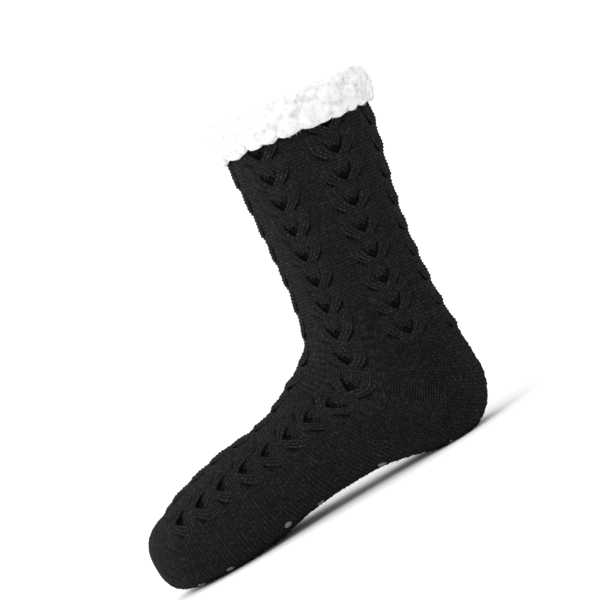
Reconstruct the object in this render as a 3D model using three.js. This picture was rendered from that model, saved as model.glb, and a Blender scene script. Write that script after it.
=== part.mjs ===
// A cable-knit slipper sock standing empty on its sole, fleece turned down over the collar.
// Millimetres, +Z up, toe towards -X. The origin is on the floor, under the heel's rest spot.
// The sock is one knitted tube: a leg, a heel fan and a foot, closed at the toe. Every wall,
// cuff and grip dot is placed on the one surface that skinPoint() works out from the tables.

import * as THREE from "three";

// Driving sizes of the knitted sock, outside to outside.
const FOOT_LENGTH = 245; // heel back to toe tip
const BALL_WIDTH = 97;
const ANKLE_HEIGHT = 100; // sole to the front of the ankle
const LEG_LENGTH = 131; // ankle to the knitted top edge, along the leg
const COLLAR_DEPTH = 102; // front to back at the top edge
const COLLAR_WIDTH = 89;
const LEG_LEAN_DEG = 7.5; // the leg leans back over the heel
const LEG_AXIS_SHIFT = 2.3; // the leg's axis stands behind the middle of the first heel section
const LEG_AXIS_RISE = 2.5; // and crosses the lowest leg section this far above the ankle
const KNIT_WALL = 2.6;
const HEEL_REST = 36; // heel back to the origin

// Cables: six up the leg, of which three run on over the foot.
const CABLE_COUNT = 6;
const CABLE_SHARE = 0.52; // of the sector that each cable stands in
const CABLE_RISE = 1.7;
const CABLE_PITCH = 17.3; // one horseshoe
const HORSESHOE_SWEEP = 0.3; // of a pitch, that the arms rise outwards
const SCALLOP_SHARE = 0.35; // of the rise, between one horseshoe and the next

// Fleece cuff.
const CUFF_DROP = 18; // below the knitted top edge, outside
const CUFF_INSIDE = 20; // below it, inside
const FLEECE_OUTSIDE = 6;
const FLEECE_INSIDE = 4.5;
const TUFT_RISE = 1.3;
const TUFTS_AROUND = 30;

// Grip dots under the sole.
const DOT_RADIUS = 3;
const DOT_FOOT_RADIUS = 2.1;
const DOT_HEIGHT = 0.9;
const DOT_ROW_PITCH = 23;
const DOT_SPACING = 22;
const SEAT_GAP = 0.3; // between pieces that touch

// Fineness of the solids.
const AROUND = 60;
const INNER_AROUND = AROUND / 2;
const LEG_RINGS = 15;
const HEEL_RINGS = 14;
const FOOT_RINGS = 21;
const INNER_RING_STEP = 2;
const DOT_SIDES = 12;
const HALF_RING_SAMPLES = 90;

const SOLE_HEIGHT = DOT_HEIGHT + SEAT_GAP; // the knit stands this far off the floor

// Leg sections from the collar down. "down" is a share of LEG_LENGTH, "front" and "back" are
// shares of COLLAR_DEPTH from the leg's axis, "side" a share of COLLAR_WIDTH.
const LEG_SECTIONS = [
  { down: 0.0, front: 0.44, back: 0.498, side: 0.487 },
  { down: 0.22, front: 0.424, back: 0.486, side: 0.472 },
  { down: 0.45, front: 0.405, back: 0.444, side: 0.442 },
  { down: 0.66, front: 0.395, back: 0.413, side: 0.416 },
  { down: 0.84, front: 0.392, back: 0.404, side: 0.405 },
  { down: 1.0, front: 0.41, back: 0.41, side: 0.408 },
];

// Heel and foot sections from the ankle to the toe. "Ahead" columns are shares of FOOT_LENGTH
// from the heel back, "Up" columns of ANKLE_HEIGHT, "side" of BALL_WIDTH. "crown" and "tread"
// are how square the front or upper half and the back or lower half of a section are.
const FOOT_SECTIONS = [
  { frontAhead: 0.35, frontUp: 0.985, backAhead: 0.003, backUp: 0.76, side: 0.381, crown: 2.0, tread: 2.05 },
  { frontAhead: 0.366, frontUp: 0.935, backAhead: 0.002, backUp: 0.5, side: 0.386, crown: 2.0, tread: 2.1 },
  { frontAhead: 0.381, frontUp: 0.898, backAhead: 0.005, backUp: 0.245, side: 0.386, crown: 1.95, tread: 2.2 },
  { frontAhead: 0.397, frontUp: 0.872, backAhead: 0.043, backUp: 0.068, side: 0.386, crown: 1.95, tread: 2.6 },
  { frontAhead: 0.415, frontUp: 0.848, backAhead: 0.114, backUp: -0.018, side: 0.381, crown: 1.9, tread: 3.3 },
  { frontAhead: 0.441, frontUp: 0.813, backAhead: 0.22, backUp: 0.02, side: 0.381, crown: 1.9, tread: 3.2 },
  { frontAhead: 0.483, frontUp: 0.757, backAhead: 0.335, backUp: 0.072, side: 0.386, crown: 1.9, tread: 2.9 },
  { frontAhead: 0.536, frontUp: 0.694, backAhead: 0.453, backUp: 0.078, side: 0.412, crown: 1.95, tread: 2.8 },
  { frontAhead: 0.611, frontUp: 0.652, backAhead: 0.563, backUp: 0.055, side: 0.454, crown: 2.0, tread: 2.9 },
  { frontAhead: 0.686, frontUp: 0.638, backAhead: 0.661, backUp: 0.008, side: 0.487, crown: 2.05, tread: 3.0 },
  { frontAhead: 0.759, frontUp: 0.603, backAhead: 0.751, backUp: -0.018, side: 0.5, crown: 2.1, tread: 3.0 },
  { frontAhead: 0.833, frontUp: 0.555, backAhead: 0.837, backUp: -0.015, side: 0.474, crown: 2.15, tread: 2.9 },
  { frontAhead: 0.898, frontUp: 0.498, backAhead: 0.906, backUp: 0.0, side: 0.405, crown: 2.2, tread: 2.7 },
  { frontAhead: 0.951, frontUp: 0.448, backAhead: 0.957, backUp: 0.032, side: 0.3, crown: 2.2, tread: 2.4 },
  { frontAhead: 0.986, frontUp: 0.365, backAhead: 0.987, backUp: 0.104, side: 0.165, crown: 2.1, tread: 2.2 },
];
const TOE_TIP_UP = 0.25; // of ANKLE_HEIGHT

// Where the cables stop, as section numbers counted from the collar.
const ANKLE_SECTION = LEG_SECTIONS.length - 1;
const HEEL_SECTION = ANKLE_SECTION + 6; // the last section of the heel fan
const BACK_CABLE_END = ANKLE_SECTION + 2;
const FRONT_CABLE_END = ANKLE_SECTION + 13;
const LAST_SECTION = ANKLE_SECTION + FOOT_SECTIONS.length;

const radians = THREE.MathUtils.degToRad;
const smoothstep = THREE.MathUtils.smoothstep;

// One section as lengths: its front and back points in the sock's middle plane, and its half width.
function legSection(row) {
  const lean = radians(LEG_LEAN_DEG);
  const up = (1 - row.down) * LEG_LENGTH;
  const ankle = FOOT_SECTIONS[0];
  const axisAhead = ((ankle.frontAhead + ankle.backAhead) / 2) * FOOT_LENGTH - LEG_AXIS_SHIFT;
  const axisAt = {
    ahead: axisAhead - up * Math.sin(lean),
    up: ANKLE_HEIGHT + LEG_AXIS_RISE + up * Math.cos(lean),
  };
  const reach = (share) => ({
    ahead: axisAt.ahead + share * COLLAR_DEPTH * Math.cos(lean),
    up: axisAt.up + share * COLLAR_DEPTH * Math.sin(lean),
  });
  return { front: reach(row.front), back: reach(-row.back), half: row.side * COLLAR_WIDTH, crown: 2, tread: 2 };
}

function footSection(row) {
  return {
    front: { ahead: row.frontAhead * FOOT_LENGTH, up: row.frontUp * ANKLE_HEIGHT },
    back: { ahead: row.backAhead * FOOT_LENGTH, up: row.backUp * ANKLE_HEIGHT },
    half: row.side * BALL_WIDTH,
    crown: row.crown,
    tread: row.tread,
  };
}

const toeTip = { ahead: FOOT_LENGTH, up: TOE_TIP_UP * ANKLE_HEIGHT };
const SECTIONS = [
  ...LEG_SECTIONS.map(legSection),
  ...FOOT_SECTIONS.map(footSection),
  { front: toeTip, back: toeTip, half: 0, crown: 2, tread: 2 },
];

// Past the tip the sections turn over, so that the toe closes round.
const pastTip = (row) => ({ ...row, front: row.back, back: row.front, half: -row.half });
SECTIONS.push(pastTip(SECTIONS[LAST_SECTION - 1]));

// A smooth curve through four values in a row.
function throughFour(a, b, c, d, s) {
  return b + 0.5 * s * (c - a + s * (2 * a - 5 * b + 4 * c - d + s * (3 * (b - c) + d - a)));
}

// The section at any place along the sock, between two of the rows.
function sectionAt(place) {
  const low = Math.min(Math.floor(place), LAST_SECTION - 1);
  const s = place - low;
  const rows = [low - 1, low, low + 1, low + 2].map((i) => {
    return SECTIONS[THREE.MathUtils.clamp(i, 0, SECTIONS.length - 1)];
  });
  const blend = (read) => throughFour(...rows.map(read), s);
  return {
    front: { ahead: blend((r) => r.front.ahead), up: blend((r) => r.front.up) },
    back: { ahead: blend((r) => r.back.ahead), up: blend((r) => r.back.up) },
    half: Math.max(blend((r) => r.half), 0),
    crown: blend((r) => r.crown),
    tread: blend((r) => r.tread),
  };
}

// Half of a section's outline, from its front or top to its back or bottom, with running lengths.
const halfRings = new Map();
function halfRing(place) {
  const key = place.toFixed(6);
  if (halfRings.has(key)) return halfRings.get(key);
  const section = sectionAt(place);
  const points = [];
  let run = 0;
  for (let i = 0; i <= HALF_RING_SAMPLES; i++) {
    const angle = (i / HALF_RING_SAMPLES) * Math.PI;
    const c = Math.cos(angle);
    const power = 2 / (c > 0 ? section.crown : section.tread);
    const along = Math.sign(c) * Math.abs(c) ** power;
    const side = section.half * Math.abs(Math.sin(angle)) ** power;
    const ahead = (section.front.ahead + section.back.ahead) / 2 +
      (along * (section.front.ahead - section.back.ahead)) / 2;
    const up = (section.front.up + section.back.up) / 2 +
      (along * (section.front.up - section.back.up)) / 2;
    const last = points[i - 1];
    if (last) run += Math.hypot(ahead - last.ahead, side - last.side, up - last.up);
    points.push({ ahead, side, up, run });
  }
  halfRings.set(key, points);
  return points;
}

// A point of the plain knit's outer surface. "turn" goes once round from the front, 0 to 1.
function plainPoint(turn, place) {
  const around = turn - Math.floor(turn);
  const points = halfRing(place);
  const wanted = points[HALF_RING_SAMPLES].run * (around > 0.5 ? 2 * (1 - around) : 2 * around);
  let i = 1;
  while (i < HALF_RING_SAMPLES && points[i].run < wanted) i++;
  const a = points[i - 1];
  const b = points[i];
  const s = b.run > a.run ? (wanted - a.run) / (b.run - a.run) : 0;
  const side = a.side + s * (b.side - a.side);
  const up = a.up + s * (b.up - a.up);
  return new THREE.Vector3(
    HEEL_REST - (a.ahead + s * (b.ahead - a.ahead)),
    around > 0.5 ? side : -side,
    Math.max(up, 0) + SOLE_HEIGHT, // the heel and forefoot are pressed flat by the floor
  );
}

// The outward normal of the plain surface.
function plainNormal(turn, place) {
  const step = 0.004;
  const before = Math.max(place - step, 0);
  const after = Math.min(place + step, LAST_SECTION - step);
  const round = plainPoint(turn + step, place).sub(plainPoint(turn - step, place));
  const along = plainPoint(turn, after).sub(plainPoint(turn, before));
  return along.cross(round).normalize();
}

// Length from the collar to each place, down the sock's front line, for spacing what repeats.
const FRONT_STEP = 0.1;
const frontRun = [0];
for (let i = 1; i * FRONT_STEP <= LAST_SECTION - 1; i++) {
  const a = plainPoint(0, (i - 1) * FRONT_STEP);
  frontRun.push(frontRun[i - 1] + a.distanceTo(plainPoint(0, i * FRONT_STEP)));
}
function frontLength(place) {
  const i = Math.min(Math.floor(place / FRONT_STEP), frontRun.length - 2);
  return frontRun[i] + (frontRun[i + 1] - frontRun[i]) * (place / FRONT_STEP - i);
}

// How far the cables stand out of the plain knit.
function cableRelief(turn, place) {
  const sector = turn * CABLE_COUNT;
  const nearest = Math.round(sector);
  const isFront = nearest <= 1 || nearest >= CABLE_COUNT - 1;
  const end = isFront ? FRONT_CABLE_END : BACK_CABLE_END;
  const out = Math.abs(sector - nearest) / (CABLE_SHARE / 2);
  const shoulder = 1 - smoothstep(out, 0.75, 1.3);
  const phase = frontLength(Math.min(place, end)) / CABLE_PITCH + HORSESHOE_SWEEP * out;
  const scallop = 1 - SCALLOP_SHARE * (0.5 + 0.5 * Math.cos(2 * Math.PI * phase));
  return CABLE_RISE * shoulder * scallop * (1 - smoothstep(place, end - 0.5, end));
}

// A point off the knit: "out" along the normal from the plain outer surface.
function skinPoint(turn, place, out) {
  return plainPoint(turn, place).addScaledVector(plainNormal(turn, place), out);
}

function meshOf(name, vertices, faces, material) {
  const geometry = new THREE.BufferGeometry();
  geometry.setAttribute("position", new THREE.Float32BufferAttribute(vertices.flatMap((v) => v.toArray()), 3));
  geometry.setIndex(faces.flat());
  geometry.computeVertexNormals();
  const mesh = new THREE.Mesh(geometry, material);
  mesh.name = name;
  return mesh;
}

// Places of the rings, evenly spaced within the leg, the heel fan and the foot.
function ringPlaces() {
  const spread = (from, to, count) => {
    return Array.from({ length: count }, (_, i) => from + ((to - from) * i) / count);
  };
  return [
    ...spread(0, ANKLE_SECTION, LEG_RINGS),
    ...spread(ANKLE_SECTION, HEEL_SECTION, HEEL_RINGS),
    ...spread(HEEL_SECTION, LAST_SECTION, FOOT_RINGS),
  ];
}

// Two rings of the same count joined by quads. "outwards" is true where the faces point out.
function joinRings(faces, first, second, count, outwards) {
  for (let i = 0; i < count; i++) {
    const next = (i + 1) % count;
    const [a, b, c, d] = [first + i, first + next, second + next, second + i];
    if (outwards) faces.push([a, d, c], [a, c, b]);
    else faces.push([a, c, d], [a, b, c]);
  }
}

// The knitted sock: an outer and an inner skin, joined at the collar and each closed at the toe.
function knitUpper(material) {
  const vertices = [];
  const faces = [];
  const places = ringPlaces();
  const innerPlaces = places.filter((_, i) => i % INNER_RING_STEP === 0);
  for (const place of places) {
    for (let i = 0; i < AROUND; i++) {
      const turn = i / AROUND;
      vertices.push(skinPoint(turn, place, cableRelief(turn, place)));
    }
  }
  const innerStart = vertices.length;
  for (const place of innerPlaces) {
    for (let i = 0; i < INNER_AROUND; i++) {
      vertices.push(skinPoint(i / INNER_AROUND, place, -KNIT_WALL));
    }
  }
  const outerTip = vertices.push(plainPoint(0, LAST_SECTION)) - 1;
  const innerTip = vertices.push(plainPoint(0, LAST_SECTION).add(new THREE.Vector3(KNIT_WALL, 0, 0))) - 1;
  for (let j = 0; j + 1 < places.length; j++) {
    joinRings(faces, j * AROUND, (j + 1) * AROUND, AROUND, true);
  }
  for (let j = 0; j + 1 < innerPlaces.length; j++) {
    joinRings(faces, innerStart + j * INNER_AROUND, innerStart + (j + 1) * INNER_AROUND, INNER_AROUND, false);
  }
  const outerLast = (places.length - 1) * AROUND;
  for (let i = 0; i < AROUND; i++) {
    faces.push([outerLast + i, outerTip, outerLast + ((i + 1) % AROUND)]);
  }
  const innerLast = innerStart + (innerPlaces.length - 1) * INNER_AROUND;
  for (let i = 0; i < INNER_AROUND; i++) {
    faces.push([innerLast + i, innerLast + ((i + 1) % INNER_AROUND), innerTip]);
  }
  for (let i = 0; i < INNER_AROUND; i++) {
    const [a, b] = [innerStart + i, innerStart + ((i + 1) % INNER_AROUND)];
    const [c, d, e] = [2 * i, 2 * i + 1, (2 * i + 2) % AROUND];
    faces.push([a, c, d], [a, d, b], [b, d, e]);
  }
  return meshOf("knit_upper", vertices, faces, material);
}

// The turned-down fleece: a hook-shaped band over the knitted top edge, tufted where it shows.
// "out" is measured from the plain outer surface, "up" from the knitted edge along the leg.
function cuffProfile() {
  const outer = CABLE_RISE + SEAT_GAP;
  const inner = -KNIT_WALL - SEAT_GAP;
  const face = outer + FLEECE_OUTSIDE;
  const lining = inner - FLEECE_INSIDE;
  const crest = SEAT_GAP + FLEECE_OUTSIDE;
  return [
    { out: outer, up: -CUFF_DROP * 0.9, tuft: 0 },
    { out: outer + FLEECE_OUTSIDE * 0.35, up: -CUFF_DROP, tuft: 0.6 },
    { out: face - FLEECE_OUTSIDE * 0.2, up: -CUFF_DROP * 0.92, tuft: 1 },
    { out: face, up: -CUFF_DROP * 0.68, tuft: 1 },
    { out: face, up: -CUFF_DROP * 0.42, tuft: 1 },
    { out: face, up: -CUFF_DROP * 0.16, tuft: 1 },
    { out: face - FLEECE_OUTSIDE * 0.12, up: crest * 0.35, tuft: 1 },
    { out: face - FLEECE_OUTSIDE * 0.5, up: crest * 0.85, tuft: 1 },
    { out: (face + lining) / 2, up: crest, tuft: 1 },
    { out: lining + FLEECE_INSIDE * 0.35, up: crest * 0.7, tuft: 0.8 },
    { out: lining, up: 0, tuft: 0.6 },
    { out: lining, up: -CUFF_INSIDE * 0.5, tuft: 0.4 },
    { out: lining + FLEECE_INSIDE * 0.2, up: -CUFF_INSIDE, tuft: 0 },
    { out: inner, up: -CUFF_INSIDE, tuft: 0, onChords: true },
    { out: inner, up: -CUFF_INSIDE * 0.5, tuft: 0, onChords: true },
    { out: inner, up: SEAT_GAP, tuft: 0, onChords: true },
    { out: outer, up: SEAT_GAP, tuft: 0 },
    { out: outer, up: -CUFF_DROP * 0.45, tuft: 0 },
  ];
}

function fleeceCuff(material) {
  const profile = cuffProfile();
  const vertices = [];
  const faces = [];
  const legAxis = new THREE.Vector3(Math.sin(radians(LEG_LEAN_DEG)), 0, Math.cos(radians(LEG_LEAN_DEG)));
  const placePerLength = LEG_SECTIONS[1].down * LEG_LENGTH; // length of the first section's stretch
  for (let j = 0; j < profile.length; j++) {
    for (let i = 0; i < AROUND; i++) {
      const { out, up, tuft } = profile[j];
      const turn = i / AROUND;
      const bump = Math.cos(2 * Math.PI * (turn * TUFTS_AROUND + j / 2)) * Math.cos(j * 2.4);
      const at = up < 0 ? -up / placePerLength : 0;
      const point = skinPoint(turn, at, out + TUFT_RISE * tuft * bump * (out > 0 ? 1 : -1));
      if (up > 0) point.addScaledVector(legAxis, up + TUFT_RISE * tuft * bump * (up / (FLEECE_OUTSIDE * 2)));
      vertices.push(point);
    }
    // The knit's inner skin has flats twice as long, and the fleece inside lies along them.
    for (let i = 1; profile[j].onChords && i < AROUND; i += 2) {
      const next = vertices[j * AROUND + ((i + 1) % AROUND)];
      vertices[j * AROUND + i] = vertices[j * AROUND + i - 1].clone().lerp(next, 0.5);
    }
  }
  for (let j = 0; j < profile.length; j++) {
    joinRings(faces, j * AROUND, ((j + 1) % profile.length) * AROUND, AROUND, false);
  }
  return meshOf("fleece_cuff", vertices, faces, material);
}

// The place and turn of the sole's point at a distance ahead of the heel back and beside the middle.
function soleSpot(ahead, beside) {
  let place = HEEL_SECTION;
  let turn = 0.5;
  for (let round = 0; round < 12; round++) {
    let [low, high] = [ANKLE_SECTION + 2, LAST_SECTION - 0.2];
    for (let i = 0; i < 24; i++) {
      place = (low + high) / 2;
      if (HEEL_REST - plainPoint(turn, place).x < ahead) low = place;
      else high = place;
    }
    let [near, far] = [0.25, 0.5];
    for (let i = 0; i < 24; i++) {
      turn = (near + far) / 2;
      if (-plainPoint(turn, place).y > Math.abs(beside)) near = turn;
      else far = turn;
    }
  }
  return { turn: beside > 0 ? 1 - turn : turn, place };
}

// Rows of dots from the one under the heel's rest spot: threes and pairs in turn, with fours
// across the ball of the foot.
function dotSpots() {
  const spots = [];
  const rows = Math.floor((FOOT_LENGTH - HEEL_REST) / DOT_ROW_PITCH);
  for (let row = 0; row < rows; row++) {
    const ahead = HEEL_REST + row * DOT_ROW_PITCH;
    const width = 2 * sectionAt(soleSpot(ahead, 0).place).half;
    const across = row % 2 === 0 ? 3 : width > 0.85 * BALL_WIDTH ? 4 : 2;
    for (let i = 0; i < across; i++) {
      spots.push({ ahead, beside: (i - (across - 1) / 2) * DOT_SPACING });
    }
  }
  return spots;
}

function gripDot(name, spot, material) {
  const { turn, place } = soleSpot(spot.ahead, spot.beside);
  const seat = plainPoint(turn, place);
  const isFlat = seat.z <= SOLE_HEIGHT + 1e-6;
  const down = isFlat ? new THREE.Vector3(0, 0, -1) : plainNormal(turn, place);
  const toHeel = new THREE.Vector3(1, 0, 0).addScaledVector(down, -down.x).normalize();
  const across = down.clone().cross(toHeel);
  const rings = [
    { radius: DOT_RADIUS, out: SEAT_GAP },
    { radius: DOT_RADIUS * 0.97, out: SEAT_GAP + DOT_HEIGHT * 0.4 },
    { radius: DOT_FOOT_RADIUS, out: SEAT_GAP + DOT_HEIGHT },
  ];
  const vertices = [];
  const faces = [];
  const onFloor = (v) => v.setZ(Math.max(v.z, 0));
  for (const { radius, out } of rings) {
    for (let i = 0; i < DOT_SIDES; i++) {
      const angle = (2 * Math.PI * i) / DOT_SIDES;
      const v = seat.clone().addScaledVector(down, out);
      v.addScaledVector(toHeel, radius * Math.cos(angle)).addScaledVector(across, radius * Math.sin(angle));
      vertices.push(onFloor(v));
    }
  }
  for (let j = 0; j + 1 < rings.length; j++) {
    joinRings(faces, j * DOT_SIDES, (j + 1) * DOT_SIDES, DOT_SIDES, false);
  }
  for (let i = 1; i + 1 < DOT_SIDES; i++) {
    faces.push([0, i + 1, i]);
    const last = (rings.length - 1) * DOT_SIDES;
    faces.push([last, last + i, last + i + 1]);
  }
  return meshOf(name, vertices, faces, material);
}

const blackKnit = new THREE.MeshStandardMaterial({ color: 0x1c1c1d, roughness: 0.95, metalness: 0 });
const whiteFleece = new THREE.MeshStandardMaterial({ color: 0xf2f0ec, roughness: 1, metalness: 0 });
const clearGrip = new THREE.MeshStandardMaterial({ color: 0xb9bab8, roughness: 0.35, metalness: 0 });

const sock = new THREE.Group();
sock.name = "slipper_sock";
sock.add(knitUpper(blackKnit));
sock.add(fleeceCuff(whiteFleece));
dotSpots().forEach((spot, i) => {
  sock.add(gripDot(`grip_dot_${String(i + 1).padStart(2, "0")}`, spot, clearGrip));
});

export default sock;
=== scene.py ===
"""A black cable-knit slipper sock with a white fleece cuff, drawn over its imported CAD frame.

The knit is laid out stitch by stitch on the surface that the section tables describe, the
cables are separate plaited strands, and the fibres of the fleece and of the yarn are scattered
by geometry nodes. Lengths in the tables are millimetres; everything made is in metres.
"""

import math

import bpy
import numpy as np
from bpy.props import FloatProperty, IntProperty, PointerProperty
from mathutils import Matrix, Vector


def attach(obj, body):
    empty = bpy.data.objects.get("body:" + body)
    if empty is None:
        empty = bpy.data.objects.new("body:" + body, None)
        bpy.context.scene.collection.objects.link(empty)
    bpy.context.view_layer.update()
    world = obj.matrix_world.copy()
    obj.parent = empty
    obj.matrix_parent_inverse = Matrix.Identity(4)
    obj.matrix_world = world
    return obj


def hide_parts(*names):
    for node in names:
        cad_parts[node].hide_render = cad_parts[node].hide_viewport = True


bl_info = {
    "name": "Slipper sock",
    "version": (1, 0, 0),
    "blender": (4, 5, 0),
    "location": "View3D > Sidebar > Slipper sock",
    "description": "Builds a cable-knit slipper sock with a fleece cuff over its CAD frame",
    "category": "Object",
}

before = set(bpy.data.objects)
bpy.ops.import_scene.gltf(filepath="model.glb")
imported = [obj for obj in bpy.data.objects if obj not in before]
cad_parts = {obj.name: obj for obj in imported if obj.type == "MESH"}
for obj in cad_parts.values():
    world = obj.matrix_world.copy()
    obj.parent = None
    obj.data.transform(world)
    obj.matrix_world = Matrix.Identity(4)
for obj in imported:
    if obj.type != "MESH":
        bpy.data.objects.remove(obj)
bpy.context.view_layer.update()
MM = 0.001

# The sock's own sizes, the same as the solid's.
FOOT_LENGTH = 245.0
BALL_WIDTH = 97.0
ANKLE_HEIGHT = 100.0
LEG_LENGTH = 131.0
COLLAR_DEPTH = 102.0
COLLAR_WIDTH = 89.0
LEG_LEAN = math.radians(7.5)
LEG_AXIS_SHIFT = 2.3
LEG_AXIS_RISE = 2.5
SOLE_HEIGHT = 1.2
HEEL_REST = 36.0
TOE_TIP_UP = 0.25
CABLES = 6

# Leg sections: share down the leg, reach to the front and back, half width.
LEG_SECTIONS = (
    (0.0, 0.44, 0.498, 0.487),
    (0.22, 0.424, 0.486, 0.472),
    (0.45, 0.405, 0.444, 0.442),
    (0.66, 0.395, 0.413, 0.416),
    (0.84, 0.392, 0.404, 0.405),
    (1.0, 0.41, 0.41, 0.408),
)
# Heel and foot sections: front ahead and up, back ahead and up, half width, squareness
# of the upper half and of the lower half.
FOOT_SECTIONS = (
    (0.35, 0.985, 0.003, 0.76, 0.381, 2.0, 2.05),
    (0.366, 0.935, 0.002, 0.5, 0.386, 2.0, 2.1),
    (0.381, 0.898, 0.005, 0.245, 0.386, 1.95, 2.2),
    (0.397, 0.872, 0.043, 0.068, 0.386, 1.95, 2.6),
    (0.415, 0.848, 0.114, -0.018, 0.381, 1.9, 3.3),
    (0.441, 0.813, 0.22, 0.02, 0.381, 1.9, 3.2),
    (0.483, 0.757, 0.335, 0.072, 0.386, 1.9, 2.9),
    (0.536, 0.694, 0.453, 0.078, 0.412, 1.95, 2.8),
    (0.611, 0.652, 0.563, 0.055, 0.454, 2.0, 2.9),
    (0.686, 0.638, 0.661, 0.008, 0.487, 2.05, 3.0),
    (0.759, 0.603, 0.751, -0.018, 0.5, 2.1, 3.0),
    (0.833, 0.555, 0.837, -0.015, 0.474, 2.15, 2.9),
    (0.898, 0.498, 0.906, 0.0, 0.405, 2.2, 2.7),
    (0.951, 0.448, 0.957, 0.032, 0.3, 2.2, 2.4),
    (0.986, 0.365, 0.987, 0.104, 0.165, 2.1, 2.2),
)
ANKLE = len(LEG_SECTIONS) - 1
HEEL_END = ANKLE + 6
BACK_CABLE_END = ANKLE + 1.9
FRONT_CABLE_END = ANKLE + 13.2
LAST = ANKLE + len(FOOT_SECTIONS)

TOE_SEAM = ANKLE + 13.0

WALES = 120  # columns of stitches round the sock
SIDE_WALE = 30  # the heel's short rows end on this wale
TOE_WALES = 84
FRONT_CABLES = (0, 1, 5)
BACK_CABLES = (2, 3, 4)
CABLE_WALES = 12
CABLE_PITCH = 17.3
ROW = CABLE_PITCH / 8
STRAND_MIDDLE = 2.95  # a strand's mean distance from its cable's middle, in wales
STRAND_SWING = 1.75  # how far it swings to both sides of that, in wales
UNDER_CABLE = 1.3  # how far the plain knit lies down below a cable, in millimetres
STITCH_BEND = 0.62  # how far a stitch's middle hangs below its sides, in rows
# Least heights over the floor, in millimetres.
KNIT_FLOOR = 0.55
STRAND_FLOOR = 0.5
FIBRE_FLOOR = 0.2
# Fibres, in metres: radius, then the bend and the end of the arc.
YARN_FIBRE = (0.00004, (0.0004, 0.0002, 0.0012), (0.0028, -0.0008, 0.0011))
FLEECE_FIBRE = (0.00011, (0.0006, 0.0, 0.0012), (0.0019, 0.0005, 0.0004))


def section_rows():
    """Every section as front ahead, front up, back ahead, back up, half, crown, tread."""
    rows = []
    first = FOOT_SECTIONS[0]
    axis = (first[0] + first[2]) / 2 * FOOT_LENGTH - LEG_AXIS_SHIFT
    for down, front, back, side in LEG_SECTIONS:
        up = (1 - down) * LEG_LENGTH
        ahead = axis - up * math.sin(LEG_LEAN)
        height = ANKLE_HEIGHT + LEG_AXIS_RISE + up * math.cos(LEG_LEAN)
        reach = []
        for share in (front, -back):
            reach.append(ahead + share * COLLAR_DEPTH * math.cos(LEG_LEAN))
            reach.append(height + share * COLLAR_DEPTH * math.sin(LEG_LEAN))
        rows.append([*reach, side * COLLAR_WIDTH, 2.0, 2.0])
    for fa, fu, ba, bu, side, crown, tread in FOOT_SECTIONS:
        rows.append(
            [fa * FOOT_LENGTH, fu * ANKLE_HEIGHT, ba * FOOT_LENGTH, bu * ANKLE_HEIGHT]
            + [side * BALL_WIDTH, crown, tread]
        )
    tip = TOE_TIP_UP * ANKLE_HEIGHT
    rows.append([FOOT_LENGTH, tip, FOOT_LENGTH, tip, 0.0, 2.0, 2.0])
    before = rows[-2]
    rows.append([before[2], before[3], before[0], before[1], -before[4], before[5], before[6]])
    return np.array(rows)


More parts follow.
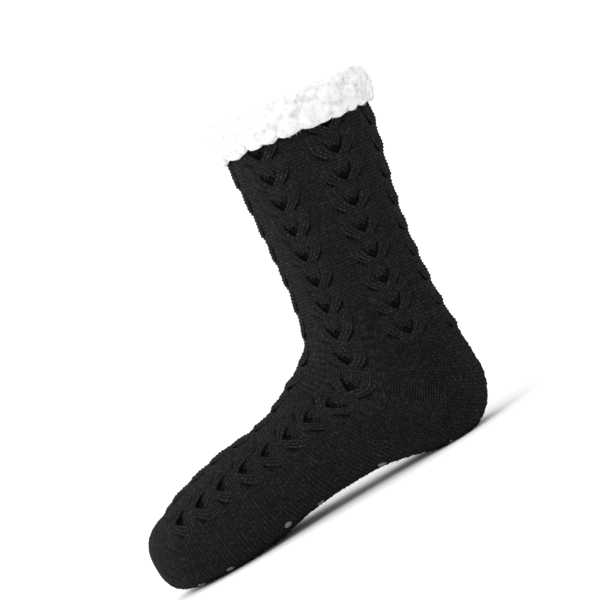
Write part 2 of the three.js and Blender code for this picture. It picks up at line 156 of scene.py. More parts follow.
class Skin:
    """The knit's plain outer surface as a lattice of points and normals, read by turn and place."""

    PER_PLACE = 24
    PER_TURN = 480

    def __init__(self):
        table = section_rows()
        places = np.arange(0, LAST * self.PER_PLACE + 1) / self.PER_PLACE
        places[-1] -= 1e-4
        angle = np.linspace(0, math.pi, 181)
        turns = np.arange(self.PER_TURN + 1) / self.PER_TURN
        half_turns = np.where(turns > 0.5, 2 * (1 - turns), 2 * turns)
        points = np.zeros((len(places), len(turns), 3))
        for n, place in enumerate(places):
            low = min(int(place), LAST - 1)
            s = place - low
            a, b, c, d = (table[min(max(i, 0), len(table) - 1)] for i in range(low - 1, low + 3))
            curve = 2 * a - 5 * b + 4 * c - d + s * (3 * (b - c) + d - a)
            fa, fu, ba, bu, half, crown, tread = b + 0.5 * s * (c - a + s * curve)
            half = max(half, 0.0)
            cosine = np.cos(angle)
            power = 2 / np.where(cosine > 0, crown, tread)
            along = np.sign(cosine) * np.abs(cosine) ** power
            side = half * np.abs(np.sin(angle)) ** power
            ahead = (fa + ba) / 2 + along * (fa - ba) / 2
            up = (fu + bu) / 2 + along * (fu - bu) / 2
            step = np.sqrt(np.diff(ahead) ** 2 + np.diff(side) ** 2 + np.diff(up) ** 2)
            run = np.concatenate([[0], np.cumsum(step)])
            wanted = half_turns * run[-1]
            across = np.interp(wanted, run, side)
            points[n, :, 0] = HEEL_REST - np.interp(wanted, run, ahead)
            points[n, :, 1] = np.where(turns > 0.5, across, -across)
            points[n, :, 2] = np.maximum(np.interp(wanted, run, up), 0) + SOLE_HEIGHT
        self.points = points
        round_step = np.roll(points[:, :-1], -1, axis=1) - np.roll(points[:, :-1], 1, axis=1)
        round_step = np.concatenate([round_step, round_step[:, :1]], axis=1)
        along_step = np.gradient(points, axis=0)
        normal = np.cross(along_step, round_step)
        size = np.linalg.norm(normal, axis=2, keepdims=True)
        normal = np.where(size > 1e-6, normal / np.maximum(size, 1e-6), [[[-1.0, 0, 0]]])
        self.normals = normal

    def read(self, lattice, turn, place):
        """A lattice value between its points."""
        u = np.mod(turn, 1.0) * self.PER_TURN
        v = np.clip(place, 0, LAST) * self.PER_PLACE
        i = np.minimum(u.astype(int), self.PER_TURN - 1)
        j = np.minimum(v.astype(int), lattice.shape[0] - 2)
        s = (u - i)[..., None]
        t = (v - j)[..., None]
        top = lattice[j, i] * (1 - s) + lattice[j, i + 1] * s
        low = lattice[j + 1, i] * (1 - s) + lattice[j + 1, i + 1] * s
        return top * (1 - t) + low * t

    def at(self, turn, place, out):
        """Points in metres, that far out from the plain surface."""
        turn, place, out = np.broadcast_arrays(turn, place, out)
        normal = self.read(self.normals, turn, place)
        normal /= np.maximum(np.linalg.norm(normal, axis=-1, keepdims=True), 1e-9)
        return (self.read(self.points, turn, place) + normal * out[..., None]) * MM

    def line(self, turn, start, end):
        """Places and running lengths down one wale."""
        places = np.linspace(start, end, 400)
        points = self.read(self.points, np.full(len(places), turn), places)
        length = np.concatenate([[0], np.cumsum(np.linalg.norm(np.diff(points, axis=0), axis=1))])
        return places, length


SKIN = Skin()


def smooth(x, low, high):
    """A soft step from 0 at low to 1 at high."""
    t = np.clip((x - low) / (high - low), 0, 1)
    return t * t * (3 - 2 * t)


def speckle(points, seed):
    """Smooth noise from -1 to 1, a sum of waves in fixed directions with the given seed."""
    rng = np.random.default_rng(seed)
    total = np.zeros(points.shape[:-1])
    for _ in range(9):
        direction = rng.normal(size=3)
        direction /= np.linalg.norm(direction)
        total += np.sin(points @ direction * rng.uniform(0.7, 1.5) + rng.uniform(0, 6.28))
    return total / 4.5


def cable_cover(wale, place):
    """How far a spot lies under a cable, 0 to 1."""
    spacing = WALES / CABLES
    sector = np.round(wale / spacing)
    off = np.abs(wale - sector * spacing)
    index = np.mod(sector, CABLES)
    front = (index <= 1) | (index >= CABLES - 1)
    end = np.where(front, FRONT_CABLE_END, BACK_CABLE_END)
    across = 1 - smooth(off, CABLE_WALES / 2 - 1.1, CABLE_WALES / 2 - 0.1)
    return across * (1 - smooth(place, end - 0.5, end - 0.1))


# Each stitch's own height, by row and wale, repeated where the table ends.
UNEVEN_ROWS, UNEVEN_WALES = 97, 131
UNEVEN = np.random.default_rng(17).uniform(0.55, 1.45, (UNEVEN_ROWS, UNEVEN_WALES))


def stitch_relief(wale, row, depth, ribbing=0.42):
    """Height of a stocking-stitch V at a wale and row, in millimetres, uneven from stitch to stitch."""
    off = np.abs(wale - np.round(wale))
    leg = np.cos(math.pi * (np.abs(off - 0.25) * 2))
    beat = 0.5 + 0.5 * np.cos(2 * math.pi * row)
    in_row = np.round(row).astype(int) % UNEVEN_ROWS
    own = UNEVEN[in_row, np.floor(wale).astype(int) % UNEVEN_WALES]
    return depth * (leg * own * (ribbing + (1 - ribbing) * beat) - 0.25 * (off < 0.05))


def hang(place, row, wale, low, high):
    """Places of the rows' points, each row bent into a V within every stitch but at its ends."""
    off = np.abs(wale - np.round(wale))
    bend = np.minimum(np.minimum(row, row[-1] - row), 1.0)[:, None]
    one_row = np.gradient(place, row)[:, None]
    bent = place[:, None] - one_row * bend * (off[None, :] * 2 - 0.5) * STITCH_BEND
    return np.clip(bent, low, high)


def zipper(faces, first, first_at, second, second_at, flip):
    """Triangles between two chains of vertices, advancing along both by their parameters."""
    i = j = 0
    while i < len(first) - 1 or j < len(second) - 1:
        ahead = j == len(second) - 1 or (
            i < len(first) - 1 and first_at[i + 1] <= second_at[j + 1]
        )
        if ahead:
            tri = (first[i], first[i + 1], second[j])
            i += 1
        else:
            tri = (first[i], second[j + 1], second[j])
            j += 1
        faces.append(tri[::-1] if flip else tri)


def plain_mesh(name, vertices, quads, tris, flat_from=None, uv=None, material=None):
    """A mesh object from arrays; triangles from flat_from on are shaded flat."""
    mesh = bpy.data.meshes.new(name)
    quads = np.asarray(quads, int).reshape(-1, 4)
    tris = np.asarray(tris, int).reshape(-1, 3)
    mesh.vertices.add(len(vertices))
    mesh.vertices.foreach_set("co", np.asarray(vertices, float).ravel())
    loops = np.concatenate([quads.ravel(), tris.ravel()])
    mesh.loops.add(len(loops))
    mesh.loops.foreach_set("vertex_index", loops)
    sizes = np.concatenate([np.full(len(quads), 4), np.full(len(tris), 3)])
    mesh.polygons.add(len(sizes))
    mesh.polygons.foreach_set("loop_start", np.concatenate([[0], np.cumsum(sizes)[:-1]]))
    smooth_face = np.ones(len(sizes), bool)
    if flat_from is not None:
        smooth_face[len(quads) + flat_from:] = False
    mesh.polygons.foreach_set("use_smooth", smooth_face)
    if uv is not None:
        layer = mesh.uv_layers.new(name="stitch")
        layer.data.foreach_set("uv", np.asarray(uv, float)[loops].ravel())
    mesh.update(calc_edges=True)
    mesh.validate()
    obj = bpy.data.objects.new(name, mesh)
    bpy.context.scene.collection.objects.link(obj)
    if material:
        mesh.materials.append(material)
    return obj


def grid_quads(rows, columns, closed, start=0, flip=False):
    """Quads of a grid of vertices, closed round if asked."""
    i = np.arange(rows - 1)[:, None]
    j = np.arange(columns if closed else columns - 1)[None, :]
    k = (j + 1) % columns
    a = i * columns + j
    b = i * columns + k
    c = (i + 1) * columns + k
    d = (i + 1) * columns + j
    quads = np.stack([a, d, c, b] if not flip else [a, b, c, d], axis=-1).reshape(-1, 4)
    return quads + start


def fan(start, count, tip, flip=False):
    """Triangles from a closed ring of vertices to one point."""
    tris = [(start + i, tip, start + (i + 1) % count) for i in range(count)]
    return [tri[::-1] for tri in tris] if flip else tris


def scatter(name, source, density, seed, fibre, material):
    """Fibres scattered over a piece by geometry nodes, baked to a plain mesh of their own."""
    tree = bpy.data.node_groups.new(name, "GeometryNodeTree")
    tree.interface.new_socket("Geometry", in_out="INPUT", socket_type="NodeSocketGeometry")
    tree.interface.new_socket("Geometry", in_out="OUTPUT", socket_type="NodeSocketGeometry")
    settings = (
        ("Density", "Float", float(density)),
        ("Seed", "Int", int(seed)),
        ("Thread", "Float", fibre[0]),
        ("Bend", "Vector", fibre[1]),
        ("End", "Vector", fibre[2]),
    )
    values = {}
    for label, kind, value in settings:
        socket = tree.interface.new_socket(label, in_out="INPUT", socket_type="NodeSocket" + kind)
        values[socket.identifier] = value
    add = tree.nodes.new
    link = tree.links.new
    group_in = add("NodeGroupInput")
    group_out = add("NodeGroupOutput")
    bare = add("GeometryNodeInputNamedAttribute")
    bare.data_type = "BOOLEAN"
    bare.inputs["Name"].default_value = "bare"
    points = add("GeometryNodeDistributePointsOnFaces")
    link(group_in.outputs["Geometry"], points.inputs["Mesh"])
    link(bare.outputs["Attribute"], points.inputs["Selection"])
    link(group_in.outputs["Density"], points.inputs["Density"])
    link(group_in.outputs["Seed"], points.inputs["Seed"])
    path = add("GeometryNodeCurveQuadraticBezier")
    path.inputs["Resolution"].default_value = 3
    path.inputs["Start"].default_value = (0, 0, -0.0003)
    link(group_in.outputs["Bend"], path.inputs["Middle"])
    link(group_in.outputs["End"], path.inputs["End"])
    ring = add("GeometryNodeCurvePrimitiveCircle")
    ring.inputs["Resolution"].default_value = 3
    link(group_in.outputs["Thread"], ring.inputs["Radius"])
    tube = add("GeometryNodeCurveToMesh")
    tube.inputs["Fill Caps"].default_value = True
    link(path.outputs["Curve"], tube.inputs["Curve"])
    link(ring.outputs["Curve"], tube.inputs["Profile Curve"])
    spread, spin = add("FunctionNodeRandomValue"), add("FunctionNodeRandomValue")
    for chance, low, high in ((spread, 0.55, 1.35), (spin, 0.0, 6.283)):
        chance.data_type = "FLOAT"
        chance.inputs[2].default_value = low
        chance.inputs[3].default_value = high
    link(group_in.outputs["Seed"], spread.inputs["Seed"])
    turned = add("FunctionNodeRotateRotation")
    turned.rotation_space = "LOCAL"
    about = add("FunctionNodeAxisAngleToRotation")
    about.inputs["Axis"].default_value = (0, 0, 1)
    link(spin.outputs[1], about.inputs["Angle"])
    link(points.outputs["Rotation"], turned.inputs["Rotation"])
    link(about.outputs["Rotation"], turned.inputs["Rotate By"])
    placed = add("GeometryNodeInstanceOnPoints")
    link(points.outputs["Points"], placed.inputs["Points"])
    link(tube.outputs["Mesh"], placed.inputs["Instance"])
    link(turned.outputs["Rotation"], placed.inputs["Rotation"])
    link(spread.outputs[1], placed.inputs["Scale"])
    real = add("GeometryNodeRealizeInstances")
    link(placed.outputs["Instances"], real.inputs["Geometry"])
    painted = add("GeometryNodeSetMaterial")
    painted.inputs["Material"].default_value = material
    link(real.outputs["Geometry"], painted.inputs["Geometry"])
    link(painted.outputs["Geometry"], group_out.inputs["Geometry"])
    modifier = source.modifiers.new(name, "NODES")
    modifier.node_group = tree
    for identifier, value in values.items():
        modifier[identifier] = value
    evaluated = source.evaluated_get(bpy.context.evaluated_depsgraph_get())
    mesh = bpy.data.meshes.new_from_object(evaluated)
    source.modifiers.remove(modifier)
    mesh.name = name
    places = np.zeros(len(mesh.vertices) * 3)
    mesh.vertices.foreach_get("co", places)
    places[2::3] = np.maximum(places[2::3], FIBRE_FLOOR * MM)
    mesh.vertices.foreach_set("co", places)
    obj = bpy.data.objects.new(name, mesh)
    bpy.context.scene.collection.objects.link(obj)
    if not mesh.materials:
        mesh.materials.append(material)
    if len(mesh.polygons) == 0:
        raise RuntimeError(f"{name} came out empty")
    return obj


def mark_bare(obj, faces):
    """Mark the faces that fibres may stand on."""
    layer = obj.data.attributes.new("bare", "BOOLEAN", "FACE")
    layer.data.foreach_set("value", faces)


def wale_columns(low, high, cabled):
    """Wale positions across a panel: four to a wale, and one to a wale where a cable covers it."""
    columns = []
    spacing = WALES // CABLES
    for wale in range(low, high):
        near = round((wale + 0.5) / spacing)
        under = abs(wale + 0.5 - near * spacing) < CABLE_WALES / 2 - 1.5
        if under and near % CABLES in cabled:
            columns.append(float(wale))
        else:
            columns += [wale + k / 4 for k in range(4)]
    return np.array(columns + [float(high)])


def knit_panel(name, wales, places, rows, depth, wall, material, cabled=(), gauge=None, ribbing=0.42):
    """A closed panel of stitched knit between two wales and two places along the sock.

    Rings of vertices follow the rows, bent into a V within each wale, so that every stitch's
    legs have their own ridge and grooves.
    """
    closed = wales[1] - wales[0] == WALES
    if gauge:
        own = np.arange(gauge * 4 + 1) / 4
        columns = wales[0] + own * (wales[1] - wales[0]) / gauge
    else:
        own = columns = wale_columns(wales[0], wales[1], cabled)
    if closed:
        own = columns = columns[:-1]
    middle = (wales[0] + wales[1]) / 2 / WALES
    run_places, run = SKIN.line(0.0 if closed else middle, *places)
    if closed:
        back = SKIN.line(0.5, *places)[1]
        run = (run / run[-1] + back / back[-1]) / 2
    row = np.arange(rows * 3 + 1) / 3
    base = np.interp(row / rows, run / run[-1], run_places)
    place = hang(base, row, own, *places)
    wale = np.broadcast_to(columns[None, :], place.shape)
    cover = cable_cover(np.mod(wale, WALES), place)
    relief = stitch_relief(own[None, :], row[:, None], depth, ribbing) * (1 - cover)
    points = SKIN.at(wale / WALES, place, relief - UNDER_CABLE * cover)
    # Stitches lie a little askew, but not along the panel's ends.
    askew = speckle(points / MM * 0.55, 3)[..., None] * 0.12 * MM
    inside = np.minimum(np.minimum(row, rows - row), 1.0)[:, None, None]
    points = points + askew * np.array([0.5, 0.5, 0.3]) * inside
    points[..., 2] = np.maximum(points[..., 2], KNIT_FLOOR * MM)
    n_rows, n_columns = place.shape
    # Under the cables the uv wale is 0, so the yarn's painted groove shade darkens the plain knit
    # there: painted shade in the cables' pits.
    stitch = np.where(cover > 0.3, 0.0, own[None, :])
    uv = np.stack([stitch, np.broadcast_to(row[:, None], place.shape)], axis=-1)
    # The inner skin, coarser.
    in_rows = max(4, rows // 3)
    if closed:
        in_columns = np.arange(wales[0], wales[1], 2.0)
    else:
        in_columns = np.linspace(wales[0], wales[1], (wales[1] - wales[0]) // 3 + 1)
    in_place = np.interp(np.linspace(0, 1, in_rows + 1), run / run[-1], run_places)
    inner = SKIN.at(in_columns[None, :] / WALES, in_place[:, None], np.array(-wall))
    start = n_rows * n_columns
    vertices = np.concatenate([points.reshape(-1, 3), inner.reshape(-1, 3)])
    in_rings, in_around = inner.shape[:2]
    uvs = np.concatenate([uv.reshape(-1, 2), np.zeros((in_rings * in_around, 2))])
    outer_quads = grid_quads(n_rows, n_columns, closed)
    inner_quads = grid_quads(in_rings, in_around, closed, start, flip=True)
    quads = np.concatenate([outer_quads, inner_quads])
    tris = []
    outer_ids = np.arange(start).reshape(n_rows, n_columns)
    inner_ids = np.arange(in_rings * in_around).reshape(in_rings, in_around) + start

    def chain(ids, at):
        """A row's vertices and wales, with the first again at the end if the panel is closed."""
        if closed:
            return [*ids, ids[0]], [*at, at[0] + WALES]
        return list(ids), list(at)

    for end, flip in ((0, False), (-1, True)):
        a, a_at = chain(outer_ids[end], columns)
        b, b_at = chain(inner_ids[end], in_columns)
        zipper(tris, a, a_at, b, b_at, flip)
    if not closed:
        for side, flip in ((0, True), (-1, False)):
            zipper(tris, outer_ids[:, side], base, inner_ids[:, side], in_place, flip)
    panel = plain_mesh(name, vertices, quads, tris, 0, uvs, material)
    outer = (n_rows - 1) * (n_columns if closed else n_columns - 1)
    mark_bare(panel, np.arange(len(panel.data.polygons)) < outer)
    return panel


def toe_panel(name, place_start, wales, rows, depth, wall, material):
    """The toe: rows closing to the tip, in fewer wales."""
    columns = np.arange(wales * 4) / 4
    end = LAST - 0.03
    run_places, run = SKIN.line(0.25, place_start, end)
    row = np.arange(rows * 3 + 1) / 3
    base = np.interp(row / rows, run / run[-1], run_places)
    place = hang(base, row, columns, place_start, end)
    wale = np.broadcast_to(columns[None, :], place.shape)
    fade = 1 - smooth(row, rows - 5, rows)[:, None] * 0.8
    points = SKIN.at(wale / wales, place, stitch_relief(wale, row[:, None], depth) * fade)
    points[..., 2] = np.maximum(points[..., 2], KNIT_FLOOR * MM)
    in_rings, in_around = 8, 48
    in_turns = np.arange(in_around)
    in_place = np.linspace(place_start, LAST - 0.35, in_rings)
    inner = SKIN.at(in_turns[None, :] / in_around, in_place[:, None], np.array(-wall))
    n_rows, n_columns = place.shape
    start = n_rows * n_columns
    tip = SKIN.at(np.array([0.0]), np.array([LAST - 0.001]), np.array([0.0]))
    inner_tip = inner[-1].mean(axis=0, keepdims=True)
    vertices = np.concatenate([points.reshape(-1, 3), inner.reshape(-1, 3), tip, inner_tip])
    outer_quads = grid_quads(n_rows, n_columns, True)
    inner_quads = grid_quads(in_rings, in_around, True, start, flip=True)
    quads = np.concatenate([outer_quads, inner_quads])
    tip_id = start + in_rings * in_around
    tris = fan(start - n_columns, n_columns, tip_id)
    tris += fan(tip_id - in_around, in_around, tip_id + 1, flip=True)
    flat = len(tris)
    first = [*range(n_columns), 0]
    in_first = [*(in_turns + start), start]
    zipper(tris, first, [*(columns / wales), 1.0], in_first, [*(in_turns / in_around), 1.0], False)
    uv = np.zeros((len(vertices), 2))
    uv[:start, 0] = wale.ravel()
    uv[:start, 1] = np.broadcast_to(row[:, None], place.shape).ravel()
    panel = plain_mesh(name, vertices, quads, tris, flat, uv, material)
    mark_bare(panel, np.arange(len(panel.data.polygons)) < (n_rows - 1) * n_columns)
    return panel


def strand(turn, side, first_over, start, end, shape):
    """One plaited strand of a cable: vertices, quads and uv, as a closed tube three wales wide.

    It swings out in front of its partner, then back in behind it, once in two horseshoes.
    """
    run_places, run = SKIN.line(turn, start, end)
    length = run[-1]
    rows = int(length / ROW)
    row = np.arange(rows * 3 + 1) / 3
    phase = (length - row * ROW) / CABLE_PITCH + (0.0 if first_over else 1.0) + shape["offset"]
    beat = np.mod(phase, 2.0)
    out_way = np.sin(math.pi / 2 * np.clip((beat - 0.02) / shape["sweep"], 0, 1)) ** 0.85
    in_way = smooth(beat, 1.05, 1.6)
    swing = 2 * (out_way - in_way) - 1
    centre = STRAND_MIDDLE + STRAND_SWING * swing
    over = np.where(beat < 1.9, smooth(beat, -0.1, 0.1) * (1 - smooth(beat, 0.25, 1.05)), 0)
    over = np.where(beat > 1.9, smooth(beat, 1.84, 2.0) * 0.5, over)
    lift = shape["rest"] + shape["over"] * over
    # Both ends go 1 mm down into the knit.
    fade = smooth(row, 0, 3) * (1 - smooth(row, rows - 3, rows))
    lift = lift * fade - (1 - fade)

    def sink(column):
        """How far the strand behind lies down; its inner edge comes up first."""
        late = beat[:, None] - 0.07 * column
        under = smooth(late, 0.95, 1.1) * (1 - smooth(late, 1.3, 1.58))
        return shape["under"] * under * fade[:, None]

    columns = np.arange(13) / 4 - 1.5
    place_at = np.interp(row * ROW, run, run_places)
    place = hang(place_at, row, columns + 0.5, start, end)
    wide = shape["wide"]
    across = side * (centre[:, None] + columns[None, :] * wide)
    crown = shape["crown"] * (1 - (np.abs(columns) / 1.5) ** 2.4)
    relief = stitch_relief(columns[None, :] + 0.5, row[:, None], shape["depth"], 0.2)
    out = lift[:, None] - sink(columns[None, :]) + crown[None, :] + relief
    top = SKIN.at(turn + across / WALES, place, out)
    # The underside: three points across.
    under_columns = np.array([1.25, 0.0, -1.25])
    under_across = side * (centre[:, None] + under_columns[None, :] * wide)
    under_out = lift[:, None] - sink(under_columns[None, :]) - np.array([0.9, 1.2, 0.9])[None, :]
    low = SKIN.at(turn + under_across / WALES, place_at[:, None], under_out)
    ring = np.concatenate([top, low], axis=1)
    ring[..., 2] = np.maximum(ring[..., 2], STRAND_FLOOR * MM)
    n, m = ring.shape[:2]
    quads = grid_quads(n, m, True, flip=side < 0)
    vertices = ring.reshape(-1, 3)
    # Only the top gets stitch wales in the uv; the underside keeps wale 0, so the yarn's painted groove
    # shade darkens it.
    uv = np.zeros((n, m, 2))
    uv[:, : len(columns), 0] = columns + 0.5
    uv[..., 1] = row[:, None]
    caps = []
    last = (n - 1) * m
    for i in range(1, m - 1):
        caps.append((0, i, i + 1) if side > 0 else (0, i + 1, i))
        caps.append((last, last + i + 1, last + i) if side > 0 else (last, last + i, last + i + 1))
    return vertices, quads, np.array(caps), uv.reshape(-1, 2)


def cable_group(name, cables, start, end, shape, material):
    """All the strands of several cables as one mesh."""
    vertices, quads, caps, uvs = [], [], [], []
    count = 0
    for cable in cables:
        turn = cable / CABLES
        for side in (1, -1):
            for first_over in (True, False):
                v, q, c, uv = strand(turn, side, first_over, start, end, shape)
                vertices.append(v)
                quads.append(q + count)
                caps.append(c + count)
                uvs.append(uv)
                count += len(v)
    caps = np.concatenate(caps)
    quads = np.concatenate(quads)
    return plain_mesh(name, np.concatenate(vertices), quads, caps, None, np.concatenate(uvs), material)


def fill(node, values):
    """Set a node's inputs by their names."""
    for label, value in values.items():
        node.inputs[label].default_value = value


def nodes_of(name, values):
    """A new material, its node tree and its Principled shader with these inputs."""
    material = bpy.data.materials.new(name)
    material.use_nodes = True
    tree = material.node_tree
    tree.nodes.clear()
    output = tree.nodes.new("ShaderNodeOutputMaterial")
    shader = tree.nodes.new("ShaderNodeBsdfPrincipled")
    fill(shader, values)
    tree.links.new(shader.outputs["BSDF"], output.inputs["Surface"])
    return material, tree, shader


def noise(tree, source, scale, detail=3.0, rough=0.6):
    """A noise texture's value."""
    node = tree.nodes.new("ShaderNodeTexNoise")
    fill(node, {"Scale": scale, "Detail": detail, "Roughness": rough})
    tree.links.new(source, node.inputs["Vector"])
    return node.outputs["Fac"]


def ramp(tree, source, stops):
    """A colour ramp with these stops."""
    node = tree.nodes.new("ShaderNodeValToRGB")
    elements = node.color_ramp.elements
    while len(elements) < len(stops):
        elements.new(0.5)
    for element, (at, colour) in zip(elements, stops):
        element.position = at
        element.color = (*colour, 1)
    tree.links.new(source, node.inputs["Fac"])
    return node.outputs["Color"]


def bump(tree, source, strength, distance, before=None):
    """A bumped normal, on top of another if one is given."""
    node = tree.nodes.new("ShaderNodeBump")
    fill(node, {"Strength": strength, "Distance": distance})
    tree.links.new(source, node.inputs["Height"])
    if before:
        tree.links.new(before, node.inputs["Normal"])
    return node.outputs["Normal"]


def maths(tree, operation, first, second=None):
    """A maths node's value, from numbers or sockets."""
    node = tree.nodes.new("ShaderNodeMath")
    node.operation = operation
    for socket, value in zip(node.inputs, (first, second)):
        if value is None:
            continue
        if isinstance(value, (int, float)):
            socket.default_value = value
        else:
            tree.links.new(value, socket)
    return node.outputs["Value"]


def stitch_crest(tree):
    """How near a spot is to the top of a stitch's leg, from its wale and row in the uv map, for the
    yarn's painted light and shade.
    """
    uv = tree.nodes.new("ShaderNodeUVMap")
    uv.uv_map = "stitch"
    split = tree.nodes.new("ShaderNodeSeparateXYZ")
    tree.links.new(uv.outputs["UV"], split.inputs["Vector"])
    off = maths(tree, "PINGPONG", split.outputs["X"], 0.5)
    leg = maths(tree, "SINE", maths(tree, "MULTIPLY", off, 2 * math.pi))
    wave = maths(tree, "COSINE", maths(tree, "MULTIPLY", split.outputs["Y"], 2 * math.pi))
    beat = maths(tree, "ADD", maths(tree, "MULTIPLY", wave, 0.3), 0.7)
    return maths(tree, "MULTIPLY", leg, beat)


def knit_material(shade):
    """Black worsted yarn: nearly black, with plies, stray fibres and paler specks, and painted shade in
    the grooves between stitch legs with painted light on their crests.
    """
    values = {"Roughness": 0.9, "Specular IOR Level": 0.12}
    material, tree, shader = nodes_of("black_knit_yarn", values)
    place = tree.nodes.new("ShaderNodeTexCoord").outputs["Object"]
    specks = noise(tree, place, 520, 4, 0.85)
    dark = [c * shade for c in (0.0044, 0.0044, 0.0046)]
    mid = [c * shade for c in (0.0120, 0.0120, 0.0123)]
    pale = [c * shade for c in (0.045, 0.045, 0.046)]
    colour = ramp(tree, specks, [(0.38, dark), (0.56, mid), (0.72, pale)])
    # Painted shade and light: by the stitch uv, the colour is multiplied down to 0.16 in the grooves
    # between stitch legs and up to 1.75 on their crests.
    painted_stitch_shade = ramp(tree, stitch_crest(tree), [(0.1, (0.16,) * 3), (0.85, (1.75,) * 3)])
    mix = tree.nodes.new("ShaderNodeMix")
    mix.data_type = "RGBA"
    mix.blend_type = "MULTIPLY"
    mix.inputs["Factor"].default_value = 1.0
    tree.links.new(colour, mix.inputs["A"])
    tree.links.new(painted_stitch_shade, mix.inputs["B"])
    tree.links.new(mix.outputs["Result"], shader.inputs["Base Color"])
    coarse = bump(tree, noise(tree, place, 420, 3, 0.7), 0.6, 0.0007)
    fine = bump(tree, noise(tree, place, 1900, 2, 0.7), 0.5, 0.0003, coarse)
    tree.links.new(fine, shader.inputs["Normal"])
    return material


def fibre_material():
    """Loose yarn fibres, a little paler than the knit."""
    values = {
        "Base Color": (0.045, 0.045, 0.047, 1),
        "Roughness": 0.7,
        "Specular IOR Level": 0.3,
    }
    return nodes_of("black_loose_fibre", values)[0]


def fleece_material(name, tint):
    """White fleece that lets light into its pile, a little darker in patches."""
    values = {
        "Roughness": 0.95,
        "Specular IOR Level": 0.1,
        "Subsurface Weight": 0.85,
        "Subsurface Radius": (0.006, 0.006, 0.006),
        "Subsurface Scale": 0.6,
        "Sheen Weight": 0.25,
    }
    material, tree, shader = nodes_of(name, values)
    place = tree.nodes.new("ShaderNodeTexCoord").outputs["Object"]
    shades = noise(tree, place, 160, 4, 0.6)
    low = [c * 0.93 for c in tint]
    colour = ramp(tree, shades, [(0.3, low), (0.6, tint)])
    tree.links.new(colour, shader.inputs["Base Color"])
    coarse = bump(tree, noise(tree, place, 550, 4, 0.65), 0.35, 0.0007)
    fine = bump(tree, noise(tree, place, 2200, 2, 0.7), 0.4, 0.0003, coarse)
    tree.links.new(fine, shader.inputs["Normal"])
    return material


def grip_material():
    """Clear silicone over black knit, which looks dark grey."""
    values = {
        "Base Color": (0.16, 0.165, 0.165, 1),
        "Roughness": 0.32,
        "Subsurface Weight": 0.3,
        "Subsurface Radius": (0.002, 0.002, 0.002),
        "Coat Weight": 0.3,
    }
    material, tree, shader = nodes_of("clear_silicone", values)
    place = tree.nodes.new("ShaderNodeTexCoord").outputs["Object"]
    tree.links.new(bump(tree, noise(tree, place, 700, 2), 0.15, 0.0003), shader.inputs["Normal"])
    return material


class SockKnit(bpy.types.PropertyGroup):
    """Settings of the stitched knit."""

    depth: FloatProperty(
        name="Stitch depth", description="Height of a stitch's legs, in millimetres", default=0.95
    )
    wall: FloatProperty(name="Wall", description="Thickness of the knit, in millimetres", default=2.6)
    leg_rows: IntProperty(name="Leg rows", description="Rows up the leg", default=60)
    foot_rows: IntProperty(
        name="Foot rows", description="Rows from the heel to the toe seam", default=56
    )
    heel_rows: IntProperty(name="Heel rows", description="Short rows round the heel", default=56)
    toe_rows: IntProperty(name="Toe rows", description="Rows in the toe", default=13)
    shade: FloatProperty(name="Yarn shade", description="Brightness of the yarn", default=1.0)
    loose: FloatProperty(
        name="Loose fibres", description="Loose fibres to a square metre of knit", default=26000
    )


class SockCables(bpy.types.PropertyGroup):
    """Settings of the horseshoe cables."""

    sweep: FloatProperty(
        name="Sweep", description="Share of a horseshoe in which a strand swings out", default=0.6
    )
    over: FloatProperty(
        name="Over", description="Rise of the strand in front, in millimetres", default=1.1
    )
    under: FloatProperty(
        name="Under", description="Fall of the strand behind, in millimetres", default=2.5
    )
    rest: FloatProperty(
        name="Rest", description="Height of a strand between crossings, in millimetres", default=0.15
    )
    crown: FloatProperty(
        name="Crown", description="Roundness of a strand, in millimetres", default=1.05
    )
    wide: FloatProperty(
        name="Spread", description="Width of a strand's stitches, in wales", default=1.3
    )


class SockFleece(bpy.types.PropertyGroup):
    """Settings of the fleece cuff and lining."""

    fibres: FloatProperty(
        name="Fibres", description="Fibres to a square metre of fleece", default=300000
    )
    seed: IntProperty(name="Seed", description="Seed of the scattered fibres", default=7)


def shown(obj, slot_name, *nodes):
    """Put a finished piece on the root body, in place of its CAD nodes."""
    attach(obj, "root")
    if nodes:
        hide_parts(*nodes)
    return obj


class SOCK_OT_knit(bpy.types.Operator):
    """Knit the leg, heel, foot and toe"""

    bl_idname = "sock.knit"
    bl_label = "Knit"

    def execute(self, context):
        s = context.scene.sock_knit
        material = knit_material(s.shade)
        yarn = (s.wall, material)
        whole = (-WALES // 2, WALES // 2)
        instep = (-SIDE_WALE, SIDE_WALE)
        heel = (SIDE_WALE, WALES - SIDE_WALE)
        turned = (ANKLE, HEEL_END)
        foot = (HEEL_END, TOE_SEAM)
        every = FRONT_CABLES + BACK_CABLES
        panels = [
            knit_panel("knit_leg", whole, (0.0, ANKLE), s.leg_rows, s.depth, *yarn, every),
            knit_panel("knit_instep", instep, turned, 14, s.depth, *yarn, FRONT_CABLES),
            knit_panel("knit_heel", heel, turned, s.heel_rows, s.depth * 1.5, *yarn, (), 46, 0.9),
            knit_panel("knit_foot", whole, foot, s.foot_rows, s.depth, *yarn, FRONT_CABLES),
            toe_panel("knit_toe", TOE_SEAM, TOE_WALES, s.toe_rows, s.depth * 0.85, *yarn),
        ]
        loose = fibre_material()
        for panel in panels:
            name = panel.name.replace("knit", "loose_fibres")
            fibres = scatter(name, panel, s.loose, 23, YARN_FIBRE, loose)
            shown(panel, "black_knit", "knit_upper")
            shown(fibres, "black_knit", "knit_upper")
        return {"FINISHED"}


